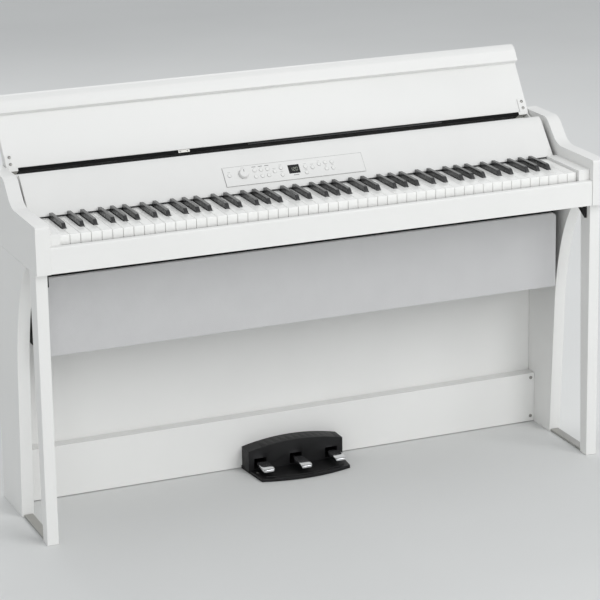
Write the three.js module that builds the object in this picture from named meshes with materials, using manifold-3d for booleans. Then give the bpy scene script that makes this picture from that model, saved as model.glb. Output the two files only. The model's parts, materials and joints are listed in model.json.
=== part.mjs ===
// Digital piano on its stand, with the key cover open.
// Millimetres. +X to the player's right, +Y from the player to the wall, +Z up, floor at z = 0.
// While the pieces are made, y = 0 is the front of the arms; the group is centred at the end.
import * as THREE from 'three';
import { mergeVertices } from 'three/addons/utils/BufferGeometryUtils.js';
import Module from 'manifold-3d';

const wasm = await Module();
wasm.setup();

// ---------- driving dimensions ----------
const GAP = 0.3;                 // between pieces that rest on each other
const HALF_WIDTH = 673;          // outside of the end cheeks
const DEPTH = 345;               // arm front to the back of the side boards
const CASE_BOTTOM = 610;         // top of the stand, underside of the instrument
const ARM_TOP = 716;             // top of the arms beside the keys
const CHEEK_TOP = 771;           // top of the cheeks beside the panel
const CHEEK_T = 32;
const SIDE_T = 28;
const BED_T = 18.7;              // key bed board

const OCTAVE = 165;              // seven white keys
const WHITES = 52;
const KEY_FRONT = 26.5;
const KEY_TOP = 685.5;
const KEY_H = 20.8;
const KEY_PIVOT_Y = 238;
const BLACK_TOP = 697;
const BLACK_W = 10.4;
const BLACK_FRONT = KEY_FRONT + 50;

const SLOPE_DEG = 49.5;          // control panel above the horizontal
const SLOPE_FOOT = [173.5, 689]; // lower front edge of the panel, y and z
const PANEL_HALF = 632.5;        // the panel stops short of the cheeks: the lid arms pass there
const PANEL_T = 8;
const PANEL_TOP = 768;

const LID_HALF = 639.5;
const LID_T = 18;
const LID_LEN = 173;
const LID_FOOT = [316.5, 766.5];      // lower front corner of the open lid, y and z
const LID_LEAN_DEG = 33;              // open lid, back from the vertical
const LID_CLOSED_FOOT = [180, 748];   // where that corner lies when the lid is shut
const LID_SWING_DEG = 137;

const SPEAKER_X = 420;
const SPEAKER_Z = 474;
const PEDAL_PITCH = 89;

// ---------- derived ----------
const PITCH = OCTAVE / 7;
const CHEEK_IN = HALF_WIDTH - CHEEK_T;
const SIDE_IN = HALF_WIDTH - SIDE_T;
const CASE_HALF = CHEEK_IN - GAP;
const BASE_Z = CASE_BOTTOM + GAP;
const BED_TOP = BASE_Z + BED_T;
const rad = THREE.MathUtils.degToRad;

// Frame of the open lid: s runs up the lid from its lower edge, n out of its front face.
const lidUp = [Math.sin(rad(LID_LEAN_DEG)), Math.cos(rad(LID_LEAN_DEG))];
const lidOut = [-lidUp[1], lidUp[0]];
const lidPoint = (s, n) => new THREE.Vector2(
  LID_FOOT[0] + s * lidUp[0] + n * lidOut[0],
  LID_FOOT[1] + s * lidUp[1] + n * lidOut[1]);

// Frame of the control panel: u runs up the slope from its foot, w out of its face.
const slopeUp = [Math.cos(rad(SLOPE_DEG)), Math.sin(rad(SLOPE_DEG))];
const slopeOut = [-slopeUp[1], slopeUp[0]];
const slopePoint = (u, w) => new THREE.Vector2(
  SLOPE_FOOT[0] + u * slopeUp[0] + w * slopeOut[0],
  SLOPE_FOOT[1] + u * slopeUp[1] + w * slopeOut[1]);

// The lid turns about the one point that carries its foot from open to shut.
function lidPivot() {
  const dy = LID_CLOSED_FOOT[0] - LID_FOOT[0];
  const dz = LID_CLOSED_FOOT[1] - LID_FOOT[1];
  const offset = 1 / (2 * Math.tan(rad(LID_SWING_DEG) / 2));
  return [
    (LID_FOOT[0] + LID_CLOSED_FOOT[0]) / 2 - dz * offset,
    (LID_FOOT[1] + LID_CLOSED_FOOT[1]) / 2 + dy * offset,
  ];
}
const PIVOT = lidPivot();

// ---------- materials ----------
const finish = (color, roughness, metalness = 0) =>
  new THREE.MeshStandardMaterial({ color, roughness, metalness });
const whiteLaminate = finish(0xeeeeec, 0.45);
const whiteMoulding = finish(0xe9e9e7, 0.5);
const keyWhite = finish(0xf6f6f2, 0.2);
const keyBlack = finish(0x2b2b2b, 0.35);
const blackPlastic = finish(0x1c1c1c, 0.5);
const greyCloth = finish(0xbababa, 0.9);
const greySteel = finish(0xa8a8a4, 0.35, 0.9);
const chrome = finish(0xd8d8d8, 0.12, 1);
const boardGreen = finish(0x2d5a3c, 0.6);
const darkGlass = finish(0x151515, 0.08);

// ---------- small helpers ----------
const group = new THREE.Group();

function add(name, geometry, material) {
  const mesh = new THREE.Mesh(geometry, material);
  mesh.name = name;
  group.add(mesh);
}

function box(x0, x1, y0, y1, z0, z1) {
  const g = new THREE.BoxGeometry(x1 - x0, y1 - y0, z1 - z0);
  return g.translate((x0 + x1) / 2, (y0 + y1) / 2, (z0 + z1) / 2);
}

// A side-view outline (y, z) pushed from x0 to x1.
const alongX = new THREE.Matrix4().makeBasis(
  new THREE.Vector3(0, 1, 0), new THREE.Vector3(0, 0, 1), new THREE.Vector3(1, 0, 0));
function pushX(outline, x0, x1, curveSegments = 8) {
  const shape = Array.isArray(outline) ? new THREE.Shape(outline) : outline;
  const g = new THREE.ExtrudeGeometry(shape, { depth: x1 - x0, bevelEnabled: false, curveSegments });
  return g.applyMatrix4(alongX).translate(x0, 0, 0);
}

// A plan outline (x, y) pushed from z0 to z1.
function pushZ(outline, z0, z1, curveSegments = 8) {
  const shape = Array.isArray(outline) ? new THREE.Shape(outline) : outline;
  const g = new THREE.ExtrudeGeometry(shape, { depth: z1 - z0, bevelEnabled: false, curveSegments });
  return g.translate(0, 0, z0);
}

const points = (...list) => list.map(([a, b]) => new THREE.Vector2(a, b));

// A pin along X, from x0 to x1, centred on y and z.
const pinX = (r, x0, x1, y, z) => new THREE.CylinderGeometry(r, r, x1 - x0, 32)
  .rotateZ(-Math.PI / 2).translate((x0 + x1) / 2, y, z);

// Places geometry made flat, with x across, y up the slope and z out, on the control panel.
const onSlope = new THREE.Matrix4().makeBasis(
  new THREE.Vector3(1, 0, 0),
  new THREE.Vector3(0, ...slopeUp),
  new THREE.Vector3(0, ...slopeOut)).setPosition(0, ...SLOPE_FOOT);

function solid(geometry) {
  const g = geometry.clone();
  g.deleteAttribute('normal');
  g.deleteAttribute('uv');
  const merged = mergeVertices(g, 1e-4);
  return new wasm.Manifold(new wasm.Mesh({
    numProp: 3,
    vertProperties: Float32Array.from(merged.attributes.position.array),
    triVerts: Uint32Array.from(merged.index.array),
  }));
}

function toGeometry(manifold) {
  const m = manifold.getMesh();
  const g = new THREE.BufferGeometry();
  g.setAttribute('position', new THREE.BufferAttribute(m.vertProperties, 3));
  g.setIndex(new THREE.BufferAttribute(m.triVerts, 1));
  return g;
}

const joined = (...list) => toGeometry(list.map(solid).reduce((a, b) => a.add(b)));
const cut = (base, ...tools) => toGeometry(tools.map(solid).reduce((a, b) => a.subtract(b), solid(base)));

// The two hands and their signs; xs gives a span of x on that hand, in rising order.
const sides = [['left', -1], ['right', 1]];
const xs = (side, a, b) => (side < 0 ? [-b, -a] : [a, b]);

// ---------- stand ----------
const BOARD_FOOT_Y = 201;
const BOARD_BEND = [182, 330];
const BOARD_PULL = [170, 520];
const BOARD_HEAD_Y = 82;
const LEG_FRONT = 18;
const LEG_HEAD_Y = 63;
const LEG_FOOT_Y = 48;
const LEG_INSET = [28.5, 2];     // its two faces, in from the outside of the cheeks

function sideBoard(side) {
  const s = new THREE.Shape();
  s.moveTo(BOARD_FOOT_Y, 0);
  s.lineTo(DEPTH, 0);
  s.lineTo(DEPTH, CASE_BOTTOM);
  s.lineTo(BOARD_HEAD_Y, CASE_BOTTOM);
  s.quadraticCurveTo(...BOARD_PULL, ...BOARD_BEND);
  return pushX(s, ...xs(side, SIDE_IN, HALF_WIDTH), 10);
}

function frontLeg(side) {
  const outline = points(
    [LEG_FRONT, 0], [LEG_FOOT_Y, 0], [LEG_HEAD_Y, CASE_BOTTOM], [LEG_FRONT, CASE_BOTTOM]);
  return pushX(outline, ...xs(side, HALF_WIDTH - LEG_INSET[0], HALF_WIDTH - LEG_INSET[1]));
}

// Flat steel bar that ties the leg to the side board at the floor.
function floorBar(side) {
  const [x0, x1] = xs(side, HALF_WIDTH - 25, HALF_WIDTH - 5);
  return box(x0, x1, LEG_FOOT_Y + 0.6, BOARD_FOOT_Y - 0.8, 0, 6);
}

function cornerBracket(side) {
  const outline = points([32, CASE_BOTTOM - 36], [84, CASE_BOTTOM - 6], [84, CASE_BOTTOM], [32, CASE_BOTTOM]);
  return pushX(outline, ...xs(side, HALF_WIDTH - 35, HALF_WIDTH - 28.8));
}

const BACK_Y = 312;              // front face of the stand's thin back panel
const BACK_T = 12;
const LOWER_Y = 281;             // front face of the lower board
const LOWER_TOP = 124;
const FLOOR_GAP = 2;             // both panels hang clear of the floor
for (const [name, side] of sides) {
  add(`${name}_side_board`, sideBoard(side), whiteLaminate);
  add(`${name}_front_leg`, frontLeg(side), whiteLaminate);
  add(`${name}_floor_bar`, floorBar(side), greySteel);
  add(`${name}_corner_bracket`, cornerBracket(side), blackPlastic);
}
const PANEL_END = SIDE_IN - GAP;
add('stand_back_panel',
  box(-PANEL_END, PANEL_END, BACK_Y, BACK_Y + BACK_T, FLOOR_GAP, CASE_BOTTOM - 4), whiteLaminate);
add('lower_board', box(-PANEL_END, PANEL_END, LOWER_Y, BACK_Y - GAP, FLOOR_GAP, LOWER_TOP), whiteLaminate);

// ---------- pedals ----------
const PEDAL_TOP = 30;
const PEDAL_T = 10;
const PEDAL_BACK = 272;
const OUTER_NOSE = 178;          // y of the nose of the outer pedals
const MIDDLE_NOSE = 168;
const HOUSING_FRONT = 157;
const HOUSING_CORNER_Y = 176;
const HOUSING_HALF = 110;
const HOUSING_SPREAD = 10;       // how much wider the plan is at the wall than at its front
const BASE_T = 8;
const HOOD_Y = 238;
const HOOD_HALF = HOUSING_HALF + 8;
const HOOD_SIDE = 54;            // height of the hood at its ends
const HOOD_PULL = 82;            // control height of its arched top
const SLOT_HALF = 15;            // slot that a pedal swings in

function pedalHousing() {
  const plan = new THREE.Shape();
  plan.moveTo(-HOUSING_HALF, HOUSING_CORNER_Y);
  plan.quadraticCurveTo(0, 2 * HOUSING_FRONT - HOUSING_CORNER_Y, HOUSING_HALF, HOUSING_CORNER_Y);
  plan.lineTo(HOUSING_HALF + HOUSING_SPREAD, LOWER_Y - GAP);
  plan.lineTo(-HOUSING_HALF - HOUSING_SPREAD, LOWER_Y - GAP);
  const front = new THREE.Shape();
  front.moveTo(-HOOD_HALF, BASE_T / 2);
  front.lineTo(HOOD_HALF, BASE_T / 2);
  front.lineTo(HOOD_HALF, HOOD_SIDE);
  front.quadraticCurveTo(0, HOOD_PULL, -HOOD_HALF, HOOD_SIDE);
  const hood = new THREE.ExtrudeGeometry(front, {
    depth: LOWER_Y - GAP - HOOD_Y, bevelEnabled: false, curveSegments: 14,
  }).rotateX(Math.PI / 2).translate(0, LOWER_Y - GAP, 0);
  const slots = [-1, 0, 1].map((i) => box(
    i * PEDAL_PITCH - SLOT_HALF, i * PEDAL_PITCH + SLOT_HALF,
    HOOD_Y - 2, PEDAL_BACK + 3, BASE_T + 2, PEDAL_TOP + 5));
  return cut(joined(pushZ(plan, 0.5, BASE_T, 14), hood), ...slots);
}

// Plan of a pedal: a broad round nose and a narrower shank that goes into the hood.
function pedal(x, front) {
  const nose = 14;
  const shank = 10;
  const round = front + 10;      // where the rounded nose ends
  const broad = front + 40;      // where the broad part ends
  const narrow = front + 66;     // where the shank begins
  const s = new THREE.Shape();
  s.moveTo(x - nose, round);
  s.quadraticCurveTo(x - nose, front, x, front);
  s.quadraticCurveTo(x + nose, front, x + nose, round);
  s.lineTo(x + nose, broad);
  s.lineTo(x + shank, narrow);
  s.lineTo(x + shank, PEDAL_BACK);
  s.lineTo(x - shank, PEDAL_BACK);
  s.lineTo(x - shank, narrow);
  s.lineTo(x - nose, broad);
  return pushZ(s, PEDAL_TOP - PEDAL_T, PEDAL_TOP, 6);
}

add('pedal_housing', pedalHousing(), blackPlastic);
add('soft_pedal', pedal(-PEDAL_PITCH, OUTER_NOSE), chrome);
add('sostenuto_pedal', pedal(0, MIDDLE_NOSE), chrome);
add('damper_pedal', pedal(PEDAL_PITCH, OUTER_NOSE), chrome);

// ---------- speaker box under the keys ----------
const BOX_HALF = 622;
const BOX_FRONT = 152;
const BOX_Z = [385, 563];
const GRILLE_Y = 137;
const WALL = 12;

function speakerBox() {
  const back = BACK_Y - GAP;
  const shell = box(-BOX_HALF, BOX_HALF, BOX_FRONT, back, BOX_Z[0], CASE_BOTTOM);
  const inside = box(
    -BOX_HALF + WALL, BOX_HALF - WALL, BOX_FRONT + WALL, back + 5, BOX_Z[0] + WALL, CASE_BOTTOM - WALL);
  const holes = [-1, 1].map((i) => new THREE.CylinderGeometry(52, 52, 40, 40)
    .translate(i * SPEAKER_X, BOX_FRONT, SPEAKER_Z));
  return cut(shell, inside, ...holes);
}

// Cloth frame with its upper corners rounded.
function speakerGrille() {
  const r = 10;
  const s = new THREE.Shape();
  s.moveTo(-BOX_HALF, BOX_Z[0]);
  s.lineTo(BOX_HALF, BOX_Z[0]);
  s.lineTo(BOX_HALF, BOX_Z[1] - r);
  s.absarc(BOX_HALF - r, BOX_Z[1] - r, r, 0, Math.PI / 2, false);
  s.lineTo(-BOX_HALF + r, BOX_Z[1]);
  s.absarc(-BOX_HALF + r, BOX_Z[1] - r, r, Math.PI / 2, Math.PI, false);
  const g = new THREE.ExtrudeGeometry(s, { depth: 8, bevelEnabled: false, curveSegments: 4 });
  return g.rotateX(Math.PI / 2).translate(0, GRILLE_Y + 8, 0);
}

// Loudspeaker: flange, dished cone, basket and magnet, turned about its own axis.
function speaker(side) {
  const profile = points(
    [0, -14], [18, -16], [46, 0], [60, 0], [60, -3], [50, -3], [48, -6],
    [28, -34], [34, -36], [34, -54], [0, -54]);
  const g = new THREE.LatheGeometry(profile.reverse(), 32);
  return g.rotateZ(Math.PI).translate(side * SPEAKER_X, BOX_FRONT - 3 - GAP, SPEAKER_Z);
}

add('speaker_box', speakerBox(), blackPlastic);
add('speaker_grille', speakerGrille(), greyCloth);
for (const [name, side] of sides) add(`${name}_speaker`, speaker(side), blackPlastic);

// ---------- instrument case ----------
const SLIP_Y = [2, 16];
const SLIP_TOP = 668;
const REAR_Y = 333.3;
const BLOCK_BACK = 172;
const WELL_Y = 251;              // the lid's well starts here, behind the panel's flat top
const WELL_Z = 722;
const SHOULDER = 13;             // length of slope taken up by the round shoulder
const SOCKET_CUT = [-220, -80, 652, 688];   // x and z of the opening for the connector panel

function endCheek(side) {
  const s = new THREE.Shape();
  const r = 6;
  s.moveTo(0, BASE_Z);
  s.lineTo(DEPTH, BASE_Z);
  s.lineTo(DEPTH, CHEEK_TOP - r);
  s.quadraticCurveTo(DEPTH, CHEEK_TOP, DEPTH - r, CHEEK_TOP);
  s.lineTo(242, CHEEK_TOP);
  s.quadraticCurveTo(226, CHEEK_TOP, 214, 758);
  s.lineTo(188, 730.5);
  s.quadraticCurveTo(172, ARM_TOP, 148, ARM_TOP);
  s.lineTo(r, ARM_TOP);
  s.quadraticCurveTo(0, ARM_TOP, 0, ARM_TOP - r);
  const [x0, x1] = xs(side, CHEEK_IN, HALF_WIDTH);
  const [p0, p1] = xs(side, CHEEK_IN - 2, CHEEK_IN + 10);
  return cut(pushX(s, x0, x1, 8), pinX(5.4, p0, p1, ...PIVOT));
}

function keySlip() {
  const [y0, y1] = SLIP_Y;
  const s = new THREE.Shape();
  s.moveTo(y0, BASE_Z);
  s.lineTo(y1, BASE_Z);
  s.lineTo(y1, SLIP_TOP);
  s.lineTo(y0 + 4, SLIP_TOP);
  s.quadraticCurveTo(y0, SLIP_TOP, y0, SLIP_TOP - 4);
  return pushX(s, -CASE_HALF, CASE_HALF, 4);
}

// Bent panel: control slope, round shoulder, flat top, and the well behind it for the lid.
function controlPanel() {
  const rise = (PANEL_TOP - SLOPE_FOOT[1]) / slopeUp[1];   // up the slope to the level of the top
  const crest = slopePoint(rise, 0);
  const shoulder = slopePoint(rise - SHOULDER, 0);
  const foot = slopePoint(PANEL_T / Math.tan(rad(SLOPE_DEG)), -PANEL_T);
  const wallY = WELL_Y - PANEL_T;
  const inner = slopePoint((wallY - SLOPE_FOOT[0] + PANEL_T * slopeOut[0]) / slopeUp[0], -PANEL_T);
  const s = new THREE.Shape();
  s.moveTo(...SLOPE_FOOT);
  s.lineTo(foot.x, foot.y);
  s.lineTo(inner.x, inner.y);
  s.lineTo(wallY, WELL_Z - PANEL_T);
  s.lineTo(REAR_Y - 2 * GAP, WELL_Z - PANEL_T);
  s.lineTo(REAR_Y - 2 * GAP, WELL_Z);
  s.lineTo(WELL_Y, WELL_Z);
  s.lineTo(WELL_Y, PANEL_TOP);
  s.lineTo(WELL_Y - 2, PANEL_TOP);
  s.quadraticCurveTo(crest.x, crest.y, shoulder.x, shoulder.y);
  return pushX(s, -PANEL_HALF, PANEL_HALF, 6);
}

function unitBackPanel() {
  const panel = box(-CASE_HALF, CASE_HALF, REAR_Y, DEPTH, BED_TOP + GAP, 742);
  const [x0, x1, z0, z1] = SOCKET_CUT;
  return cut(panel, box(x0, x1, REAR_Y - 5, DEPTH + 5, z0, z1));
}

// Sockets for the power adapter, line output and computer.
function connectorPanel() {
  const [x0, x1, z0, z1] = SOCKET_CUT;
  const fit = 0.4;
  const plate = box(x0 + fit, x1 - fit, REAR_Y + 2, DEPTH - 1, z0 + fit, z1 - fit);
  const round = [-205, -182, -160].map((x) => new THREE.CylinderGeometry(4, 4, 8, 20)
    .translate(x, DEPTH - 1, 670));
  const square = box(-128, -116, DEPTH - 6, DEPTH + 2, 664, 675);
  return cut(plate, ...round, square);
}

// Main circuit board on four posts behind the keys.
function mainBoard() {
  const posts = [[-190, 274], [190, 274], [-190, 322], [190, 322]].map(([x, y]) =>
    box(x - 4, x + 4, y - 4, y + 4, BED_TOP + GAP, 646));
  return joined(box(-200, 200, 268, 328, 645, 647), ...posts);
}

// Tray under the keys: front stop rail, and the ridge they rock on.
function keyFrame() {
  const z = BED_TOP + GAP;
  const ridge = KEY_TOP - KEY_H - GAP;
  const outline = points(
    [20, z], [262, z], [262, z + 4], [248, z + 4], [243, 650], [KEY_PIVOT_Y, ridge], [233, 650],
    [228, z + 4], [54, z + 4], [54, 651], [34, 651], [34, z + 4], [20, z + 4]);
  return pushX(outline, -612, 612);
}

for (const [name, side] of sides) {
  add(`${name}_end_cheek`, endCheek(side), whiteLaminate);
  const [x0, x1] = xs(side, WHITES * PITCH / 2 + 0.5, CASE_HALF);
  add(`${name}_key_block`, box(x0, x1, SLIP_Y[1] + GAP, BLOCK_BACK, BED_TOP + GAP, 692), whiteLaminate);
}
add('key_bed', box(-CASE_HALF, CASE_HALF, SLIP_Y[1] + GAP, DEPTH, BASE_Z, BED_TOP), whiteLaminate);
add('key_slip', keySlip(), whiteLaminate);
add('control_panel', controlPanel(), whiteMoulding);
add('unit_back_panel', unitBackPanel(), whiteLaminate);
add('connector_panel', connectorPanel(), blackPlastic);
add('main_board', mainBoard(), boardGreen);
add('key_frame', keyFrame(), greySteel);

// ---------- controls on the slope ----------
const PLATE = { x: [-175, 161], u: [18.4, 65.4], top: 2.6 };
const DISPLAY = { x: [-22, 4.5], u: [33, 53.9] };
const CAP_R = 4;
const WEB = [1.1, 1.5];
const CAP_TOP = 3.6;
const KNOB_AT = [-129.6, 44.6];
const keypads = {
  power_button: [[-162.8, 44.4]],
  tone_keypad: [-101.9, -86.5, -71].flatMap((x) => [[x, 50.8], [x, 35]]),
  function_button: [[-55.2, 42.9]],
  record_keypad: [[-39, 49.5], [-39, 32.3]],
  playback_keypad: [[19.2, 45.7], [19.2, 31.1]],
  select_button: [[35.9, 42.1]],
  enter_button: [[52.8, 48.2]],
  cursor_keypad: [68.5, 84.7].flatMap((x) => [[x, 50.5], [x, 35.1]]),
};

// Box around a keypad's caps, grown by m.
function padBox(centres, m, w0, w1) {
  const x = centres.map((c) => c[0]);
  const u = centres.map((c) => c[1]);
  return box(Math.min(...x) - m, Math.max(...x) + m, Math.min(...u) - m, Math.max(...u) + m, w0, w1);
}

const capAt = ([x, u], r, w0, w1) => new THREE.CylinderGeometry(r, r, w1 - w0, 20)
  .rotateX(Math.PI / 2).translate(x, u, (w0 + w1) / 2);

function controlPlate() {
  const { x, u, top } = PLATE;
  const pads = Object.values(keypads);
  const pockets = pads.map((pad) => padBox(pad, CAP_R + 1.5, 0, WEB[1] + 0.3));
  const holes = pads.flat().map((c) => capAt(c, CAP_R + 0.4, 0, top + 1));
  const window = box(DISPLAY.x[0] - GAP, DISPLAY.x[1] + GAP, DISPLAY.u[0] - GAP, DISPLAY.u[1] + GAP, 0, top + 1);
  const knobHole = capAt(KNOB_AT, 4, 0, top + 1);
  return cut(box(...x, ...u, GAP, top), ...pockets, ...holes, window, knobHole).applyMatrix4(onSlope);
}

function keypad(centres) {
  const caps = centres.map((c) => capAt(c, CAP_R, WEB[0] + 0.1, CAP_TOP));
  return joined(padBox(centres, CAP_R + 1, ...WEB), ...caps).applyMatrix4(onSlope);
}

function volumeKnob() {
  const profile = points([0, GAP], [3.5, GAP], [3.5, 2.9], [11, 2.9], [11, 6], [9.6, 10], [0, 10]);
  return new THREE.LatheGeometry(profile, 32).rotateX(Math.PI / 2)
    .translate(...KNOB_AT, 0).applyMatrix4(onSlope);
}

add('control_plate', controlPlate(), whiteMoulding);
add('display_window', box(...DISPLAY.x, ...DISPLAY.u, GAP, 2.3).applyMatrix4(onSlope), darkGlass);
add('volume_knob', volumeKnob(), whiteMoulding);
for (const [name, centres] of Object.entries(keypads)) add(name, keypad(centres), whiteMoulding);

// ---------- lid ----------
const LIP = [124, 15];           // where the lip starts, and how far it stands out
const RAIL = [8, 22];            // rail under the lid: along the lid, and through it
const RAIL_HALF = 613;

function lidPanel() {
  const s = new THREE.Shape();
  const to = (a, n) => s.lineTo(...lidPoint(a, n));
  const bend = (ca, cn, a, n) => s.quadraticCurveTo(...lidPoint(ca, cn), ...lidPoint(a, n));
  s.moveTo(...lidPoint(0, -LID_T));
  to(LID_LEN - 4, -LID_T);
  bend(LID_LEN, -LID_T, LID_LEN, -LID_T + 4);
  to(LID_LEN, -4);
  bend(LID_LEN - 3, LIP[1], LID_LEN - 22, LIP[1] + 1);
  to(LIP[0], LIP[1]);
  to(LIP[0], 0);
  to(0, 0);
  return pushX(s, -LID_HALF, LID_HALF, 7);
}

function lidRail() {
  return pushX(
    [lidPoint(-RAIL[0], 0), lidPoint(-RAIL[0], -RAIL[1]), lidPoint(-GAP, -RAIL[1]), lidPoint(-GAP, 0)],
    -RAIL_HALF, RAIL_HALF);
}

// Steel arm: screwed to the front of the lid, down past the panel end, with a pin into the cheek.
function lidArm(side) {
  const [w0, w1] = xs(side, LID_HALF - 5, LID_HALF - 1);
  const [f0, f1] = xs(side, RAIL_HALF + 5, LID_HALF - 1);
  const [b0, b1] = xs(side, RAIL_HALF + GAP, LID_HALF - 1);
  const [p0, p1] = xs(side, LID_HALF - 4, CHEEK_IN + 9);
  const boss = 9;
  const web = pushX([
    lidPoint(-GAP, 2), lidPoint(-RAIL[0], 2),
    new THREE.Vector2(PIVOT[0] - 3, PIVOT[1] + boss - 1), new THREE.Vector2(PIVOT[0] + 5, PIVOT[1] - boss + 2),
    lidPoint(-RAIL[0] - 2, -RAIL[1]), lidPoint(-GAP, -RAIL[1]),
  ].reverse(), w0, w1);
  const block = pushX([
    lidPoint(-RAIL[0], 2), lidPoint(-RAIL[0], -RAIL[1]), lidPoint(-GAP, -RAIL[1]), lidPoint(-GAP, 2),
  ], b0, b1);
  const flange = pushX([lidPoint(-1, GAP), lidPoint(32, GAP), lidPoint(32, 2), lidPoint(-1, 2)], f0, f1);
  return joined(web, block, flange, pinX(boss, w0, w1, ...PIVOT), pinX(5, p0, p1, ...PIVOT));
}

add('lid_panel', lidPanel(), whiteLaminate);
add('lid_rail', lidRail(), blackPlastic);
for (const [name, side] of sides) add(`${name}_lid_arm`, lidArm(side), greySteel);

// ---------- keys ----------
// Black keys lie this far from the octave's left edge, in white-key widths.
const BLACK_AT = { 0: 1 - 0.13, 1: 2 + 0.13, 3: 4 - 0.17, 4: 5, 5: 6 + 0.17 };
const LETTERS = 'CDEFGAB';
const KEY_GAP = 1;
const KEY_BACK = 244;
const BLACK_BACK = 234;
const CAP_BACK = 172;            // the part of a black key that shows ends here, at the panel's foot
const CAP_NOTCH = [205, KEY_TOP + 0.5];   // behind it the key passes under the foot: end and height
const KEYS_LEFT = -WHITES * PITCH / 2;
const FIRST_LETTER = 5;          // the lowest key is an A
const octaveLetter = (i) => (i + FIRST_LETTER) % 7;

// Centre of the black key that follows white key i, or null where there is none.
function blackCentre(i) {
  const place = BLACK_AT[octaveLetter(i)];
  if (place === undefined || i < 0 || i >= WHITES - 1) return null;
  return KEYS_LEFT + (i - octaveLetter(i) + place) * PITCH;
}

// Plan of white key i, with notches where its black neighbours stand.
function whitePlan(i) {
  const left = KEYS_LEFT + i * PITCH + KEY_GAP / 2;
  const right = left + PITCH - KEY_GAP;
  const clear = BLACK_W / 2 + KEY_GAP;
  const before = blackCentre(i - 1);
  const after = blackCentre(i);
  const tailLeft = before === null ? left : Math.max(left, before + clear);
  const tailRight = after === null ? right : Math.min(right, after - clear);
  const notch = BLACK_FRONT - KEY_GAP;
  return points(
    [left, KEY_FRONT], [right, KEY_FRONT], [right, notch], [tailRight, notch],
    [tailRight, KEY_BACK], [tailLeft, KEY_BACK], [tailLeft, notch], [left, notch]);
}

const whiteKey = (i) => pushZ(whitePlan(i), KEY_TOP - KEY_H, KEY_TOP);

function blackKey(i) {
  const x = blackCentre(i);
  const z = KEY_TOP - 12;
  const [notchEnd, notchZ] = CAP_NOTCH;
  const outline = points(
    [BLACK_FRONT, z], [BLACK_BACK, z], [BLACK_BACK, BLACK_TOP], [notchEnd, BLACK_TOP],
    [notchEnd, notchZ], [CAP_BACK, notchZ], [CAP_BACK, BLACK_TOP], [BLACK_FRONT + 7, BLACK_TOP],
    [BLACK_FRONT + 1, KEY_TOP + 1.5]);
  return pushX(outline, x - BLACK_W / 2, x + BLACK_W / 2);
}

// Keys past the middle octave are joined at their backs into combs.
function whiteComb(from, to) {
  const x0 = KEYS_LEFT + from * PITCH + KEY_GAP / 2;
  const x1 = KEYS_LEFT + (to + 1) * PITCH - KEY_GAP / 2;
  const keys = [];
  for (let i = from; i <= to; i += 1) keys.push(whiteKey(i));
  return joined(box(x0, x1, KEY_BACK - 6, KEY_BACK, KEY_TOP - KEY_H, KEY_TOP), ...keys);
}

function blackComb(from, to) {
  const list = [];
  for (let i = from; i <= to; i += 1) if (blackCentre(i) !== null) list.push(i);
  const x0 = blackCentre(list[0]) - BLACK_W / 2;
  const x1 = blackCentre(list[list.length - 1]) + BLACK_W / 2;
  const bar = box(x0, x1, BLACK_BACK - 10, BLACK_BACK, BLACK_TOP - 7, BLACK_TOP);
  return joined(bar, ...list.map(blackKey));
}

const MIDDLE = 23;               // white key index of middle C
add('bass_white_keys', whiteComb(0, MIDDLE - 1), keyWhite);
add('bass_black_keys', blackComb(0, MIDDLE - 2), keyBlack);
for (let i = MIDDLE; i < MIDDLE + 7; i += 1) {
  const letter = LETTERS[octaveLetter(i)].toLowerCase();
  add(`key_${letter}4`, whiteKey(i), keyWhite);
  if (blackCentre(i) !== null) add(`key_${letter}_sharp4`, blackKey(i), keyBlack);
}
add('treble_white_keys', whiteComb(MIDDLE + 7, WHITES - 1), keyWhite);
add('treble_black_keys', blackComb(MIDDLE + 7, WHITES - 2), keyBlack);

// ---------- frame: origin under the middle of the whole object ----------
const bounds = new THREE.Box3().setFromObject(group);
group.position.y = -(bounds.min.y + bounds.max.y) / 2;

export default group;
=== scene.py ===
# %% [markdown]
# # A digital piano on its stand
# The real object is a flat-pack cabinet of laminated board with a keyboard laid across it.
# The boards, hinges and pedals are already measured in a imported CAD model, which loads as a
# fixed frame. This lesson gives each piece the shape and finish that the eye expects:
# eased edges, separate keys, stretched cloth, screws and printed marks.

# %% Start
import json
import math
import random

import bmesh
import bpy
from mathutils import Matrix, Vector

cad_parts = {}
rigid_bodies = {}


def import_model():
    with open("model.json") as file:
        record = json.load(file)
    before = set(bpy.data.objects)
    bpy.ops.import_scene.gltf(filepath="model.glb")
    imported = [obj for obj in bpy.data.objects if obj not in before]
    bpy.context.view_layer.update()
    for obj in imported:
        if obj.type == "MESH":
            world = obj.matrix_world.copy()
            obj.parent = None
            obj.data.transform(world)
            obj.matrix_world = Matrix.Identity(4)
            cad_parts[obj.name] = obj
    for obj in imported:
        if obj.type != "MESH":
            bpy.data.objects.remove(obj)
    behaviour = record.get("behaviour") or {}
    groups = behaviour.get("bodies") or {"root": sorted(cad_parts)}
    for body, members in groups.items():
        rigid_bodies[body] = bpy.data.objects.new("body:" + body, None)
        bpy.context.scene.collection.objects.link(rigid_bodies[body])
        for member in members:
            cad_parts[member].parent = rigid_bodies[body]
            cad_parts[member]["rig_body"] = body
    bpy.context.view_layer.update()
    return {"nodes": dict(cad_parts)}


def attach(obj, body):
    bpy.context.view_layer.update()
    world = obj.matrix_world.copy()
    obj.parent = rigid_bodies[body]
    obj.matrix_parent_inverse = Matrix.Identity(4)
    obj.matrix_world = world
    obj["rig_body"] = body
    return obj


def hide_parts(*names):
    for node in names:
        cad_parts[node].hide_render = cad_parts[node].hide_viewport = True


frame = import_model()
random.seed(88)
MM = 0.001
DEPTH_SHIFT = -0.2122455      # the frame's y at the front of the end cheeks

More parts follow.
